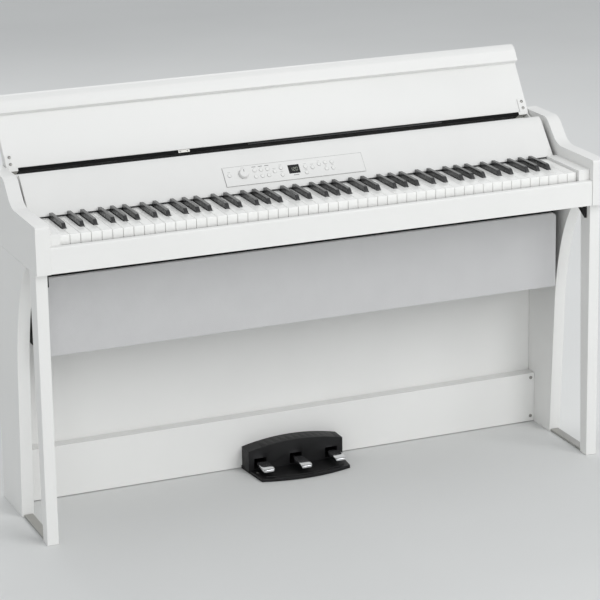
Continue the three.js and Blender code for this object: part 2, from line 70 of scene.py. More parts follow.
# %% [markdown]
# ## Camera
# A product picture of a long, low object is taken from a little above the keys, from the bass
# side, with a long lens so that the far end doesn't shrink much. The lens is shifted a little
# so that the legs stay nearly upright, and no depth of field is used.

# %% Camera
FOCAL_PX, IMAGE_PX, SENSOR_MM = 2537.5, 600, 36
YAW, PITCH, ROLL = 0.3908, 0.2743, -0.0158


def aim(yaw, pitch, roll):
    """Rotation of a camera that looks along +Y at yaw 0, to the right and down as they grow."""
    forward = Vector((math.sin(yaw) * math.cos(pitch), math.cos(yaw) * math.cos(pitch), -math.sin(pitch)))
    right = Vector((math.cos(yaw), -math.sin(yaw), 0))
    up = right.cross(forward)
    across = math.cos(roll) * right + math.sin(roll) * up
    above = math.cos(roll) * up - math.sin(roll) * right
    return Matrix((across, above, -forward)).transposed()


camera = bpy.data.objects.new("camera", bpy.data.cameras.new("camera"))
camera.data.lens = FOCAL_PX / IMAGE_PX * SENSOR_MM
camera.data.sensor_width = SENSOR_MM
camera.data.shift_y = -0.1
camera.location = (-2.0952, -4.8934 + DEPTH_SHIFT, 2.1070)
camera.rotation_euler = aim(YAW, PITCH, ROLL).to_euler()
bpy.context.scene.collection.objects.link(camera)
bpy.context.scene.camera = camera
print("lens", round(camera.data.lens, 1), "mm")

# %% [markdown]
# ## Small helpers
# Colours are written as the sRGB hex values a designer reads off a chart, and one function
# turns them to the linear numbers a shader wants. One more function adds a node, sets it and
# wires it, because every tree below is only that step repeated.


# %% Colour and node helpers
def colour(code):
    """Linear RGBA of an sRGB hex code."""
    parts = [int(code[i : i + 2], 16) / 255 for i in (0, 2, 4)]
    return [c / 12.92 if c <= 0.04045 else ((c + 0.055) / 1.055) ** 2.4 for c in parts] + [1]


def put(tree, kind, wires=(), **settings):
    """Adds a node; wires maps an input's name or number to a value or to another node's output."""
    node = tree.nodes.new(kind)
    for name, value in settings.items():
        setattr(node, name, value)
    for key, value in dict(wires).items():
        if isinstance(value, bpy.types.NodeSocket):
            tree.links.new(value, node.inputs[key])
        else:
            node.inputs[key].default_value = value
    return node


def sum_up(tree, operation, *values):
    """Output of a Math node."""
    return put(tree, "ShaderNodeMath", dict(enumerate(values)), operation=operation).outputs[0]


# %% [markdown]
# ## Light and floor
# White laminate shows its form only through soft shade. One wide lamp high in front of the
# treble side lights the fronts and tops, a weaker low one reaches in under the keys, and a third
# behind lights the upper edges. A pale world keeps the shadows open, and the floor is pale too.

# %% Light and floor
FLOOR_HALF = 14
LAMPS_AIM = Vector((0, 0, 0.5))
LAMPS = {
    "main_lamp": ((1.9, -3.6, 3.4), 3.0, 88),
    "fill_lamp": ((-1.6, -4.4, 1.0), 2.6, 30),
    "back_lamp": ((0.4, 3.4, 3.0), 3.0, 42),
}
for name, (place, size, watts) in LAMPS.items():
    lamp = bpy.data.objects.new(name, bpy.data.lights.new(name, "AREA"))
    lamp.data.size, lamp.data.energy = size, watts
    lamp.location = place
    lamp.rotation_euler = (LAMPS_AIM - Vector(place)).to_track_quat("-Z", "Y").to_euler()
    bpy.context.scene.collection.objects.link(lamp)

world = bpy.data.worlds.new("studio")
world.use_nodes = True
world.node_tree.nodes["Background"].inputs["Color"].default_value = colour("EEF0F2")
world.node_tree.nodes["Background"].inputs["Strength"].default_value = 0.68
bpy.context.scene.world = world
bpy.context.scene.view_settings.view_transform = "Standard"


def floor_paint():
    material = bpy.data.materials.new("pale_floor_paint")
    material.use_nodes = True
    tree = material.node_tree
    where = put(tree, "ShaderNodeTexCoord").outputs["Object"]
    cloud = put(tree, "ShaderNodeTexNoise", {"Vector": where, "Scale": 1.5}).outputs["Fac"]
    tint = put(tree, "ShaderNodeMix", {0: cloud, 6: colour("DCDDDC"), 7: colour("E4E5E4")}, data_type="RGBA")
    tree.links.new(tint.outputs[2], tree.nodes["Principled BSDF"].inputs["Base Color"])
    tree.nodes["Principled BSDF"].inputs["Roughness"].default_value = 0.85
    return material


floor_mesh = bpy.data.meshes.new("floor")
corners = [(x * FLOOR_HALF, y * FLOOR_HALF, 0) for x, y in ((-1, -1), (1, -1), (1, 1), (-1, 1))]
floor_mesh.from_pydata(corners, [], [(0, 1, 2, 3)])
floor = bpy.data.objects.new("floor", floor_mesh)
floor_mesh.materials.append(floor_paint())
bpy.context.scene.collection.objects.link(floor)
print(len(LAMPS), "lamps and a floor")

# %% [markdown]
# ## Finishes
# Each finish starts from its real stuff: base colour, metal or not, how rough it is, and the
# size in millimetres of the texture that its making leaves. `finish` builds what they share:
# a faint cloudiness in the colour, patches of higher and lower gloss from handling, and a fine
# bump. It hands back the material, so a cell can add what only its own stuff has.


# %% Shared start of every finish
def finish(name, light, dark, gloss, grain, relief, metal=0.0, stretch=(1, 1, 1), cloud=140, **sockets):
    """A material: light and dark are its two tints, gloss its lowest and highest roughness.

    In mm, grain is the size of the bumps, relief their height, and cloud the size of the patches."""
    material = bpy.data.materials.new(name)
    material.use_nodes = True
    tree = material.node_tree
    shader = tree.nodes["Principled BSDF"]
    where = put(tree, "ShaderNodeTexCoord").outputs["Object"]
    drawn = put(tree, "ShaderNodeMapping", {"Vector": where, "Scale": stretch}).outputs[0]
    patches = put(tree, "ShaderNodeTexNoise",
                  {"Vector": where, "Scale": 1 / (cloud * MM), "Detail": 4}).outputs["Fac"]
    fine = put(tree, "ShaderNodeTexNoise",
               {"Vector": drawn, "Scale": 1 / (grain * MM), "Detail": 3}).outputs["Fac"]
    blend = sum_up(tree, "MULTIPLY_ADD", fine, 0.4, sum_up(tree, "MULTIPLY", patches, 0.6))
    tint = put(tree, "ShaderNodeMix", {0: blend, 6: colour(dark), 7: colour(light)},
               data_type="RGBA").outputs[2]
    rough = put(tree, "ShaderNodeMapRange",
                {"Value": blend, 1: 0.3, 2: 0.7, 3: gloss[0], 4: gloss[1]}).outputs[0]
    bump = put(tree, "ShaderNodeBump", {"Height": fine, "Distance": relief * MM, "Strength": 1.0}).outputs[0]
    tree.links.new(tint, shader.inputs["Base Color"])
    tree.links.new(rough, shader.inputs["Roughness"])
    tree.links.new(bump, shader.inputs["Normal"])
    shader.inputs["Metallic"].default_value = metal
    for key, value in sockets.items():
        shader.inputs[key.replace("_", " ")].default_value = value
    return material


# %% [markdown]
# **Laminate and mouldings.** The boards are chipboard faced with white melamine, pressed on a
# plate that leaves a very fine orange peel. The bent control panel and its plate are painted
# ABS, which is smoother and a shade warmer.

# %% White finishes
laminate = finish("white_melamine_laminate", "F1F1EF", "E7E7E5", (0.36, 0.5), 1.3, 0.02, cloud=180)
moulding = finish("painted_white_abs", "EEEEEC", "E5E5E3", (0.3, 0.42), 0.9, 0.012, cloud=90)
button_cap = finish("white_abs_button", "F3F3F1", "EAEAE8", (0.34, 0.44), 0.6, 0.01, cloud=20)

# %% [markdown]
# **Keys.** White key tops are moulded acrylic resin, glossy and a little polished along the
# stroke of the fingers, so the fine texture is drawn out along y. Black keys are matt phenolic
# with a fine tooth that keeps fingers from slipping.

# %% Key finishes
ivory = finish("glossy_white_key_resin", "FDFDFB", "F8F8F5", (0.12, 0.22), 0.8, 0.004,
               stretch=(1, 0.12, 1), cloud=25, Coat_Weight=0.25, Coat_Roughness=0.08)
ebony = finish("satin_black_key_resin", "1E1E1F", "121213", (0.22, 0.34), 0.5, 0.006,
               stretch=(1, 0.15, 1), cloud=15, Coat_Weight=0.4, Coat_Roughness=0.16)

# %% [markdown]
# **Metals.** The floor bars and lid arms are zinc-plated steel, rolled, so the grain runs along
# the bar. The pedals are brass plated with bright nickel and chrome, polished, with faint smears.
# Metals keep the shader's own IOR.

# %% Metal finishes
zinc = finish("zinc_plated_steel", "C9C8C4", "A09F9B", (0.3, 0.46), 0.7, 0.008, metal=1,
              stretch=(1, 0.05, 1), cloud=30)
chrome = finish("polished_chrome_plate", "E6E7E8", "D2D3D5", (0.06, 0.16), 2.5, 0.003, metal=1, cloud=18)
nickel = finish("nickel_screw_plate", "B9B8B4", "8E8D8A", (0.22, 0.36), 0.6, 0.006, metal=1, cloud=6)

# %% [markdown]
# ** Plastics, felt, board and ink.** Black ABS mouldings have a spark-eroded grain of about half
# a millimetre. Felt is wool fibre, with no gloss and a soft sheen. The circuit board is fibreglass
# under green lacquer. Ink is printed flat on the plate. The grey ink also draws painted shade:
# thin lines in the gaps round the caps and the knob, and along the edges of the plate.

# %% Dark finishes
black_abs = finish("grained_black_abs", "1B1B1C", "101011", (0.42, 0.58), 0.6, 0.03, cloud=60,
                   Specular_IOR_Level=0.3)
rail_black = finish("black_rail_foil", "0A0A0B", "050506", (0.5, 0.62), 0.9, 0.015,
                    stretch=(0.1, 1, 1), cloud=120, Specular_IOR_Level=0.12)
felt = finish("black_wool_felt", "2A2A2C", "101012", (0.92, 1.0), 0.35, 0.12, cloud=8,
              Sheen_Weight=0.5, Sheen_Roughness=0.6)
lacquer = finish("green_board_lacquer", "2F6A44", "234F34", (0.28, 0.4), 3.0, 0.02, cloud=12)
epoxy = finish("black_chip_epoxy", "262626", "191919", (0.5, 0.62), 0.3, 0.01, cloud=5)
smoked = finish("smoked_acrylic_window", "0D0D10", "08080A", (0.05, 0.1), 4.0, 0.001, cloud=10,
                Coat_Weight=0.4)
# Grey print, and also painted shade lines round the caps, the knob and the plate's edges.
grey_print_and_shade = finish("grey_printed_ink", "B4B4B2", "A4A4A2", (0.5, 0.6), 0.3, 0.004, cloud=6)
dark_ink = finish("dark_printed_ink", "5A5A5A", "484848", (0.5, 0.6), 0.3, 0.004, cloud=6)
paper_cone = finish("doped_paper_cone", "2B2A28", "1D1C1B", (0.7, 0.85), 0.8, 0.05, cloud=12)
lit = finish("lit_segment", "B4B8AC", "A2A69A", (0.4, 0.5), 0.4, 0.002, cloud=4,
             Emission_Color=colour("C9CFBC"), Emission_Strength=0.08)

# %% [markdown]
# **Speaker cloth.** An open plain weave of grey polyester: two sets of threads that pass over and
# under each other. A sine along x and one along z make the threads, and a checker decides which
# lies on top. Real threads are about 0.8 mm apart; they are drawn 2.4 mm apart, or they would
# melt into flat grey.

# %% Speaker cloth finish
THREAD, GAP_SHADE = 2.4 * MM, 0.45
cloth = finish("grey_polyester_weave", "DEDEDE", "CFCFD0", (0.85, 0.95), 1.2, 0.05, cloud=70,
               Sheen_Weight=0.25, Sheen_Roughness=0.5)
tree = cloth.node_tree
axes = put(tree, "ShaderNodeSeparateXYZ", {0: put(tree, "ShaderNodeTexCoord").outputs["Object"]})
swings = [sum_up(tree, "SINE", sum_up(tree, "MULTIPLY", axes.outputs[axis], math.pi / THREAD))
          for axis in (0, 2)]
waves = [sum_up(tree, "ABSOLUTE", swing) for swing in swings]
checker = sum_up(tree, "SIGN", sum_up(tree, "MULTIPLY", *swings))
over = sum_up(tree, "MULTIPLY_ADD", checker, 0.5, 0.5)
weave = put(tree, "ShaderNodeMix", {0: over, 2: waves[0], 3: waves[1]}).outputs[0]
shader = tree.nodes["Principled BSDF"]
plain = shader.inputs["Base Color"].links[0].from_socket
between = sum_up(tree, "MULTIPLY_ADD", weave, -GAP_SHADE, GAP_SHADE)      # 0 on top of a thread
shaded = put(tree, "ShaderNodeMix", {0: between, 6: plain, 7: colour("8C8C8E")},
             data_type="RGBA").outputs[2]
tree.links.new(shaded, shader.inputs["Base Color"])
ribbed = put(tree, "ShaderNodeBump", {"Height": weave, "Distance": 0.35 * MM, "Strength": 0.8}).outputs[0]
tree.links.new(ribbed, shader.inputs["Normal"])
print(len(bpy.data.materials), "finishes")

# %% [markdown]
# ## Eased edges
# No real board has a razor edge: laminate is trimmed to about 1 mm, mouldings are rounder. A
# CAD node is loose triangles, so a copy is merged, its flat faces are made whole, and a bevel
# rounds only the sharp edges. The bevel keeps the flat faces' shading flat. The copy rides on
# the node's own body and stands for the node.

# %% Copies with eased edges
SHARP = math.radians(28)
COPLANAR = math.radians(0.6)
WELD = 0.01 * MM


def settle(piece):
    """Replaces a piece's mesh with its evaluated one and drops its modifiers."""
    graph = bpy.context.evaluated_depsgraph_get()
    mesh = bpy.data.meshes.new_from_object(piece.evaluated_get(graph), preserve_all_data_layers=True,
                                           depsgraph=graph)
    mesh.name = piece.name
    piece.modifiers.clear()
    piece.data = mesh


def new_piece(name, bm, material, body):
    """Links a bmesh as an object at the origin that rides on a body."""
    mesh = bpy.data.meshes.new(name)
    bm.to_mesh(mesh)
    bm.free()
    for face in mesh.polygons:
        face.use_smooth = True
    mesh.set_sharp_from_angle(angle=SHARP)
    mesh.materials.append(material)
    piece = bpy.data.objects.new(name, mesh)
    bpy.context.scene.collection.objects.link(piece)
    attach(piece, body)
    return piece


def whole_copy(node, flatten=True):
    """Merged copy of a CAD node as a bmesh, in metres; flatten makes its flat faces whole."""
    bm = bmesh.new()
    bm.from_mesh(frame["nodes"][node].data)
    bmesh.ops.remove_doubles(bm, verts=bm.verts, dist=WELD)
    if flatten:
        bmesh.ops.dissolve_limit(bm, angle_limit=COPLANAR, verts=bm.verts, edges=bm.edges)
    return bm


def ease(node, radius, material, steps=2, flatten=True):
    """A copy of a CAD node with its edges rounded to radius, in mm, that replaces the node.

    A face with holes through it isn't flattened: one face can't hold them, and it would tear."""
    body = frame["nodes"][node]["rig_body"]
    piece = new_piece(f"{node}_eased", whole_copy(node, flatten), material, body)
    rounding = piece.modifiers.new("eased edges", "BEVEL")
    rounding.width, rounding.segments = radius * MM, steps
    rounding.limit_method, rounding.angle_limit = "ANGLE", SHARP
    rounding.harden_normals = True
    rounding.miter_outer = "MITER_ARC"
    settle(piece)
    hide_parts(node)
    return piece


HANDS = ("left", "right")
BOARDS = {"side_board": 0.9, "front_leg": 1.6, "end_cheek": 1.8, "key_block": 0.8}
for hand in HANDS:
    for part, radius in BOARDS.items():
        ease(f"{hand}_{part}", radius, laminate)
    ease(f"{hand}_floor_bar", 0.7, zinc)
    ease(f"{hand}_corner_bracket", 0.8, black_abs)
for node, radius in {"stand_back_panel": 0.5, "lower_board": 0.8, "key_bed": 0.6, "key_slip": 0.8,
                     "unit_back_panel": 0.5, "lid_panel": 0.9}.items():
    ease(node, radius, laminate)
ease("control_panel", 1.2, moulding, steps=3)
ease("control_plate", 0.3, moulding, flatten=False)
ease("speaker_box", 0.8, black_abs)
ease("connector_panel", 0.4, black_abs)
ease("pedal_housing", 1.5, black_abs, steps=3, flatten=False)
ease("lid_rail", 0.6, rail_black)
ease("volume_knob", 0.9, moulding, steps=4)
for pad in ("power_button", "tone_keypad", "function_button", "record_keypad", "playback_keypad",
            "select_button", "enter_button", "cursor_keypad"):
    ease(pad, 0.5, button_cap, steps=3)
SHOWN_AS_IT_IS = {"left_speaker": paper_cone, "right_speaker": paper_cone, "main_board": lacquer,
                  "key_frame": zinc, "display_window": smoked}
for node, material in SHOWN_AS_IT_IS.items():
    for slot in frame["nodes"][node].material_slots:
        slot.material = material

# %% [markdown]
# ## Building by rule
# Much of a piano is one thing repeated along a rule: keys, screws, rings of ink. Each rule is a
# Geometry Nodes tree with named inputs. It could be a loop of copied objects, but a tree shows
# the rule, and its sizes can be changed in one place. The tree ends in real geometry, and the
# result is kept as a plain mesh.


# %% Helpers for trees
CREASE, BLUNT = math.radians(38), math.radians(25)


def begin(name, **kinds):
    """New geometry tree whose named inputs have the given socket kinds, and its inputs by name."""
    tree = bpy.data.node_groups.new(name, "GeometryNodeTree")
    tree.interface.new_socket("Geometry", in_out="INPUT", socket_type="NodeSocketGeometry")
    for label, kind in kinds.items():
        tree.interface.new_socket(label.replace("_", " "), in_out="INPUT", socket_type="NodeSocket" + kind)
    tree.interface.new_socket("Geometry", in_out="OUTPUT", socket_type="NodeSocketGeometry")
    return tree, tree.nodes.new("NodeGroupInput").outputs


def end(tree, geometry, material):
    """Realize Instances, smooth faces with sharp edges past CREASE, Set Material, output."""
    real = put(tree, "GeometryNodeRealizeInstances", {0: geometry}).outputs[0]
    smooth = put(tree, "GeometryNodeSetShadeSmooth", {0: real}, domain="FACE").outputs[0]
    angle = put(tree, "GeometryNodeInputMeshEdgeAngle").outputs[0]
    hard = put(tree, "FunctionNodeCompare", {0: angle, 1: CREASE}, operation="GREATER_THAN").outputs[0]
    edged = put(tree, "GeometryNodeSetShadeSmooth", {0: smooth, 1: hard, 2: False}, domain="EDGE").outputs[0]
    painted = put(tree, "GeometryNodeSetMaterial", {"Geometry": edged, "Material": material}).outputs[0]
    put(tree, "NodeGroupOutput", {0: painted})


def grow(name, tree, body, slot, seeds=None, **values):
    """Runs a tree on a mesh of seeds and keeps the result as a plain piece on a body."""
    piece = bpy.data.objects.new(name, seeds or bpy.data.meshes.new(name))
    bpy.context.scene.collection.objects.link(piece)
    rule = piece.modifiers.new("rule", "NODES")
    rule.node_group = tree
    for item in tree.interface.items_tree:
        if item.in_out == "INPUT" and item.name.replace(" ", "_") in values:
            rule[item.identifier] = values[item.name.replace(" ", "_")]
    piece.modifiers.new("even shading", "WEIGHTED_NORMAL").keep_sharp = True
    settle(piece)
    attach(piece, body)
    return piece


def shape(name, bm, group=None):
    """An unlinked object that a tree copies; it never shows by itself."""
    mesh = bpy.data.meshes.new(name)
    bm.to_mesh(mesh)
    bm.free()
    made = bpy.data.objects.new(name, mesh)
    if group:
        group.objects.link(made)
    return made


def round_edges(bm, radius, steps=2):
    """Rounds every edge that turns by more than BLUNT, radius in mm."""
    edges = [e for e in bm.edges if len(e.link_faces) == 2 and e.calc_face_angle() > BLUNT]
    bmesh.ops.bevel(bm, geom=edges, offset=radius * MM, segments=steps, profile=0.5, affect="EDGES",
                    clamp_overlap=True)


def at(x, y, z):
    """A point in mm, with y from the front of the end cheeks, as metres in the frame."""
    return Vector((x * MM, y * MM + DEPTH_SHIFT, z * MM))


def push(outline, height):
    """A bmesh prism: a closed outline of points, pushed along a vector."""
    bm = bmesh.new()
    face = bm.faces.new([bm.verts.new(p) for p in outline])
    top = bmesh.ops.extrude_face_region(bm, geom=[face])
    bmesh.ops.translate(bm, verts=[v for v in top["geom"] if isinstance(v, bmesh.types.BMVert)], vec=height)
    bmesh.ops.recalc_face_normals(bm, faces=bm.faces)
    return bm


def loft(rings, caps=True):
    """A bmesh skin over rings of equal length, closed at both ends if caps."""
    bm = bmesh.new()
    rows = [[bm.verts.new(p) for p in ring] for ring in rings]
    for low, high in zip(rows, rows[1:]):
        for i in range(len(low)):
            j = (i + 1) % len(low)
            bm.faces.new((low[i], low[j], high[j], high[i]))
    if caps:
        bm.faces.new(rows[0])
        bm.faces.new(rows[-1])
    bmesh.ops.recalc_face_normals(bm, faces=bm.faces)
    return bm


# %% [markdown]
# ## White keys
# Fifty-two keys, seven to the octave of 165 mm. There are nine plans: one for each letter,
# because the notches for the black keys differ, and one for each end. The shapes are pushed up
# from their plans and rounded. The tree lays them in a row: it numbers the keys from the lowest
# A, works out the letter, and picks the shape. One run of the tree makes each body's keys.

# %% White keys
OCTAVE, OCTAVE_WIDTH = 7, 165      # white keys, mm
PITCH_KEY = OCTAVE_WIDTH / OCTAVE
KEYS, FIRST_KEY_LETTER = 52, 5
KEY_FRONT, KEY_BACK, KEY_TOP, KEY_HEIGHT, KEY_GAP = 26.5, 244, 685.5, 20.8, 1.0
BLACK_WIDTH, BLACK_FRONT = 10.4, 76.5
BLACK_AT = {0: 0.87, 1: 2.13, 3: 3.83, 4: 5, 5: 6.17}
KEYS_LEFT = -KEYS / 2 * PITCH_KEY
LOWEST_A, TOP_C = 7, 8


def white_shape(number, letter):
    """Plan of a white key from its own left edge, pushed up and rounded."""
    left, right = KEY_GAP / 2, PITCH_KEY - KEY_GAP / 2
    clear = BLACK_WIDTH / 2 + KEY_GAP
    before = BLACK_AT.get(letter - 1) if number < LOWEST_A else None
    after = BLACK_AT.get(letter) if number != TOP_C else None
    tail_left = left if before is None else max(left, (before - letter) * PITCH_KEY + clear)
    tail_right = right if after is None else min(right, (after - letter) * PITCH_KEY - clear)
    notch = BLACK_FRONT - KEY_GAP
    plan = [(left, KEY_FRONT), (right, KEY_FRONT), (right, notch), (tail_right, notch),
            (tail_right, KEY_BACK), (tail_left, KEY_BACK), (tail_left, notch), (left, notch)]
    plan = [p for i, p in enumerate(plan) if p != plan[i - 1]]
    if tail_right == right:
        plan.remove((right, notch))
    if tail_left == left:
        plan.remove((left, notch))
    bm = push([at(x, y, KEY_TOP - KEY_HEIGHT) for x, y in plan], (0, 0, KEY_HEIGHT * MM))
    round_edges(bm, 0.7, steps=3)
    return bm


white_shapes = bpy.data.collections.new("white key shapes")
for number, letter in enumerate([0, 1, 2, 3, 4, 5, 6, 5, 0]):
    shape(f"white_shape_{number}", white_shape(number, letter), white_shapes)

white_row, given = begin("row of white keys", Count="Int", First="Int", Left_edge="Float", Pitch="Float",
                         Shapes="Collection", Finish="Material")
number = sum_up(white_row, "ADD", put(white_row, "GeometryNodeInputIndex").outputs[0], given["First"])
letter = sum_up(white_row, "MODULO", sum_up(white_row, "ADD", number, FIRST_KEY_LETTER), OCTAVE)
is_lowest = sum_up(white_row, "COMPARE", number, 0, 0.1)
is_top = sum_up(white_row, "COMPARE", number, KEYS - 1, 0.1)
pick = sum_up(white_row, "MULTIPLY_ADD", is_lowest, LOWEST_A - FIRST_KEY_LETTER,
              sum_up(white_row, "MULTIPLY_ADD", is_top, TOP_C, letter))
place = put(white_row, "ShaderNodeCombineXYZ",
            {0: sum_up(white_row, "MULTIPLY_ADD", number, given["Pitch"], given["Left edge"])}).outputs[0]
line = put(white_row, "GeometryNodeMeshLine", {"Count": given["Count"]}).outputs[0]
spread = put(white_row, "GeometryNodeSetPosition", {"Geometry": line, "Position": place}).outputs[0]
kinds = put(white_row, "GeometryNodeCollectionInfo",
            {"Collection": given["Shapes"], "Separate Children": True}).outputs[0]
laid = put(white_row, "GeometryNodeInstanceOnPoints",
           {"Points": spread, "Instance": kinds, "Pick Instance": True, "Instance Index": pick}).outputs[0]
end(white_row, laid, given["Finish"])

MIDDLE_C = 23
NEXT_C = MIDDLE_C + OCTAVE
white_bodies = {"bass_white_keys": (0, MIDDLE_C), "treble_white_keys": (NEXT_C, KEYS - NEXT_C)}
white_bodies |= {f"key_{name}4": (MIDDLE_C + i, 1) for i, name in enumerate("cdefgab")}
for body, (first, count) in white_bodies.items():
    keys = grow(f"{body}_resin", white_row, body, "key_white", Count=count, First=first,
                Left_edge=KEYS_LEFT * MM, Pitch=PITCH_KEY * MM, Shapes=white_shapes, Finish=ivory)
    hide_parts(body)
    print(body, len(keys.data.polygons), "faces")

# %% [markdown]
# ## Black keys
# Thirty-six alike: a tapered bar with a sloping nose, and a notch in its top that clears the
# foot of the control panel. They aren't evenly spaced, so the tree holds the five places in an
# octave in an Index Switch.

# %% Black keys
BLACK_TOP, BLACK_BACK, CAP_BACK, UNDER_FOOT, RISE = 697, 234, 172, 686, 205
BLACK_FOOT_Z = KEY_TOP - 12
BLACKS, BELOW_MIDDLE_C, PER_OCTAVE = 36, 16, len(BLACK_AT)
TAPER = 1.0 / (BLACK_TOP - BLACK_FOOT_Z)


def black_shape():
    """A black key about x = 0, skinned between its two side views and narrower at the top."""
    side = [(BLACK_FRONT, BLACK_FOOT_Z), (BLACK_FRONT + 0.8, KEY_TOP + 1),
            (BLACK_FRONT + 8.5, BLACK_TOP - 1.6), (BLACK_FRONT + 13, BLACK_TOP),
            (CAP_BACK, BLACK_TOP), (CAP_BACK, UNDER_FOOT), (RISE, UNDER_FOOT), (RISE, BLACK_TOP),
            (BLACK_BACK, BLACK_TOP), (BLACK_BACK, BLACK_FOOT_Z)]
    half = [BLACK_WIDTH / 2 - (z - BLACK_FOOT_Z) * TAPER for _, z in side]
    bm = bmesh.new()
    left = [bm.verts.new(at(-w, y, z)) for (y, z), w in zip(side, half)]
    right = [bm.verts.new(at(w, y, z)) for (y, z), w in zip(side, half)]
    bm.faces.new(left)
    bm.faces.new(right)
    for i in range(len(side)):
        bm.faces.new((left[i - 1], left[i], right[i], right[i - 1]))
    bmesh.ops.recalc_face_normals(bm, faces=bm.faces)
    round_edges(bm, 0.75, steps=3)
    return bm


black_key_shape = shape("black_shape", black_shape())
black_row, given = begin("row of black keys", Count="Int", First="Int", Left_edge="Float", Pitch="Float",
                         Shape="Object", Finish="Material")
number = sum_up(black_row, "ADD", put(black_row, "GeometryNodeInputIndex").outputs[0], given["First"])
counted = sum_up(black_row, "ADD", number, PER_OCTAVE - 1)      # the lowest is its octave's last
nudged = sum_up(black_row, "ADD", counted, 0.01)      # so that a whole number isn't rounded down
octave = sum_up(black_row, "FLOOR", sum_up(black_row, "DIVIDE", nudged, PER_OCTAVE))
within = put(black_row, "GeometryNodeIndexSwitch", data_type="FLOAT")
while len(within.index_switch_items) < PER_OCTAVE:
    within.index_switch_items.new()
black_row.links.new(sum_up(black_row, "MODULO", counted, PER_OCTAVE), within.inputs["Index"])
for i, value in enumerate(BLACK_AT.values()):
    within.inputs[i + 1].default_value = value
from_c = sum_up(black_row, "MULTIPLY_ADD", octave, OCTAVE, within.outputs[0])
steps = sum_up(black_row, "ADD", from_c, -FIRST_KEY_LETTER)
place = put(black_row, "ShaderNodeCombineXYZ",
            {0: sum_up(black_row, "MULTIPLY_ADD", steps, given["Pitch"], given["Left edge"])}).outputs[0]
line = put(black_row, "GeometryNodeMeshLine", {"Count": given["Count"]}).outputs[0]
spread = put(black_row, "GeometryNodeSetPosition", {"Geometry": line, "Position": place}).outputs[0]
copied = put(black_row, "GeometryNodeObjectInfo", {"Object": given["Shape"]}).outputs["Geometry"]
laid = put(black_row, "GeometryNodeInstanceOnPoints", {"Points": spread, "Instance": copied}).outputs[0]
end(black_row, laid, given["Finish"])

treble_first = BELOW_MIDDLE_C + PER_OCTAVE
black_bodies = {"bass_black_keys": (0, BELOW_MIDDLE_C),
                "treble_black_keys": (treble_first, BLACKS - treble_first)}
black_bodies |= {f"key_{name}_sharp4": (BELOW_MIDDLE_C + i, 1) for i, name in enumerate("cdfga")}
for body, (first, count) in black_bodies.items():
    keys = grow(f"{body}_resin", black_row, body, "key_black", Count=count, First=first,
                Left_edge=KEYS_LEFT * MM, Pitch=PITCH_KEY * MM, Shape=black_key_shape, Finish=ebony)
    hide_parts(body)
print("black keys in", len(black_bodies), "pieces")

# %% [markdown]
# The keys outside the middle octave are joined at their backs, out of sight under the panel, so
# that each comb is one moving body. A plain moulded bar with broken edges joins each comb.

# %% Comb bars
BLACK_BAR, WHITE_BAR = ((224, 234), (690, 697)), ((238, 244), (KEY_TOP - KEY_HEIGHT, KEY_TOP))


def black_x(i, octave_place):
    """Centre of a black key; i is its octave's C, as a white key's number from the lowest A."""
    return KEYS_LEFT + (i + octave_place) * PITCH_KEY


def comb_bar(body, x0, x1, section, material):
    (y0, y1), (z0, z1) = section
    bm = push([at(x0, y0, z0), at(x1, y0, z0), at(x1, y1, z0), at(x0, y1, z0)], (0, 0, (z1 - z0) * MM))
    round_edges(bm, 0.4)
    new_piece(f"{body}_comb_bar", bm, material, body)


half, inset = BLACK_WIDTH / 2, KEY_GAP / 2
LOWEST_C, LAST_FULL_C = -FIRST_KEY_LETTER, MIDDLE_C + 3 * OCTAVE
BLACK_COMBS = {"bass_black_keys": (black_x(LOWEST_C, BLACK_AT[5]), black_x(MIDDLE_C - OCTAVE, BLACK_AT[5])),
               "treble_black_keys": (black_x(NEXT_C, BLACK_AT[0]), black_x(LAST_FULL_C, BLACK_AT[5]))}
for body, (low, high) in BLACK_COMBS.items():
    comb_bar(body, low - half, high + half, BLACK_BAR, ebony)
WHITE_COMBS = {"bass_white_keys": (KEYS_LEFT, KEYS_LEFT + MIDDLE_C * PITCH_KEY),
               "treble_white_keys": (KEYS_LEFT + NEXT_C * PITCH_KEY, -KEYS_LEFT)}
for body, (low, high) in WHITE_COMBS.items():
    comb_bar(body, low + inset, high - inset, WHITE_BAR, ivory)

# %% [markdown]
# ## Felt under the control panel
# A strip of black felt is glued under the foot of the panel and hides the gap over the keys.
# It is cut with a knife, so its edge wanders a little: a loft of short sections with a seeded
# wander makes it.

# %% Felt strip
FELT = {"half": 612, "y": (172.7, 181), "z": (686.9, 688.9), "sections": 160}
rings = []
for i in range(FELT["sections"] + 1):
    x = -FELT["half"] + 2 * FELT["half"] * i / FELT["sections"]
    front = FELT["y"][0] + random.uniform(-0.12, 0.12)
    low = FELT["z"][0] + random.uniform(-0.1, 0.1)
    back, top = FELT["y"][1], FELT["z"][1]
    rings.append([at(x, front + 0.3, top), at(x, front, (low + top) / 2), at(x, front + 0.4, low),
                  at(x, back, low), at(x, back, top)])
new_piece("key_felt_strip", loft(rings), felt, "case")

# %% [markdown]
# ## Speaker cloth
# The cloth is stretched over a moulded frame and tucked behind it, so it is one sheet: flat in
# front, rounded over the frame's edge, and turned in at the back. Rings of the frame's outline,
# each a little further in or back, give that shape, and a thin wall makes it cloth.

# %% Speaker cloth
GRILLE = {"half": 622, "z": (385, 563), "corner": 10, "front": 137, "back": 145}
CLOTH_T, TUCK, CORNER_POINTS = 0.5, 9, 6
WRAP = GRILLE["back"] - GRILLE["front"]


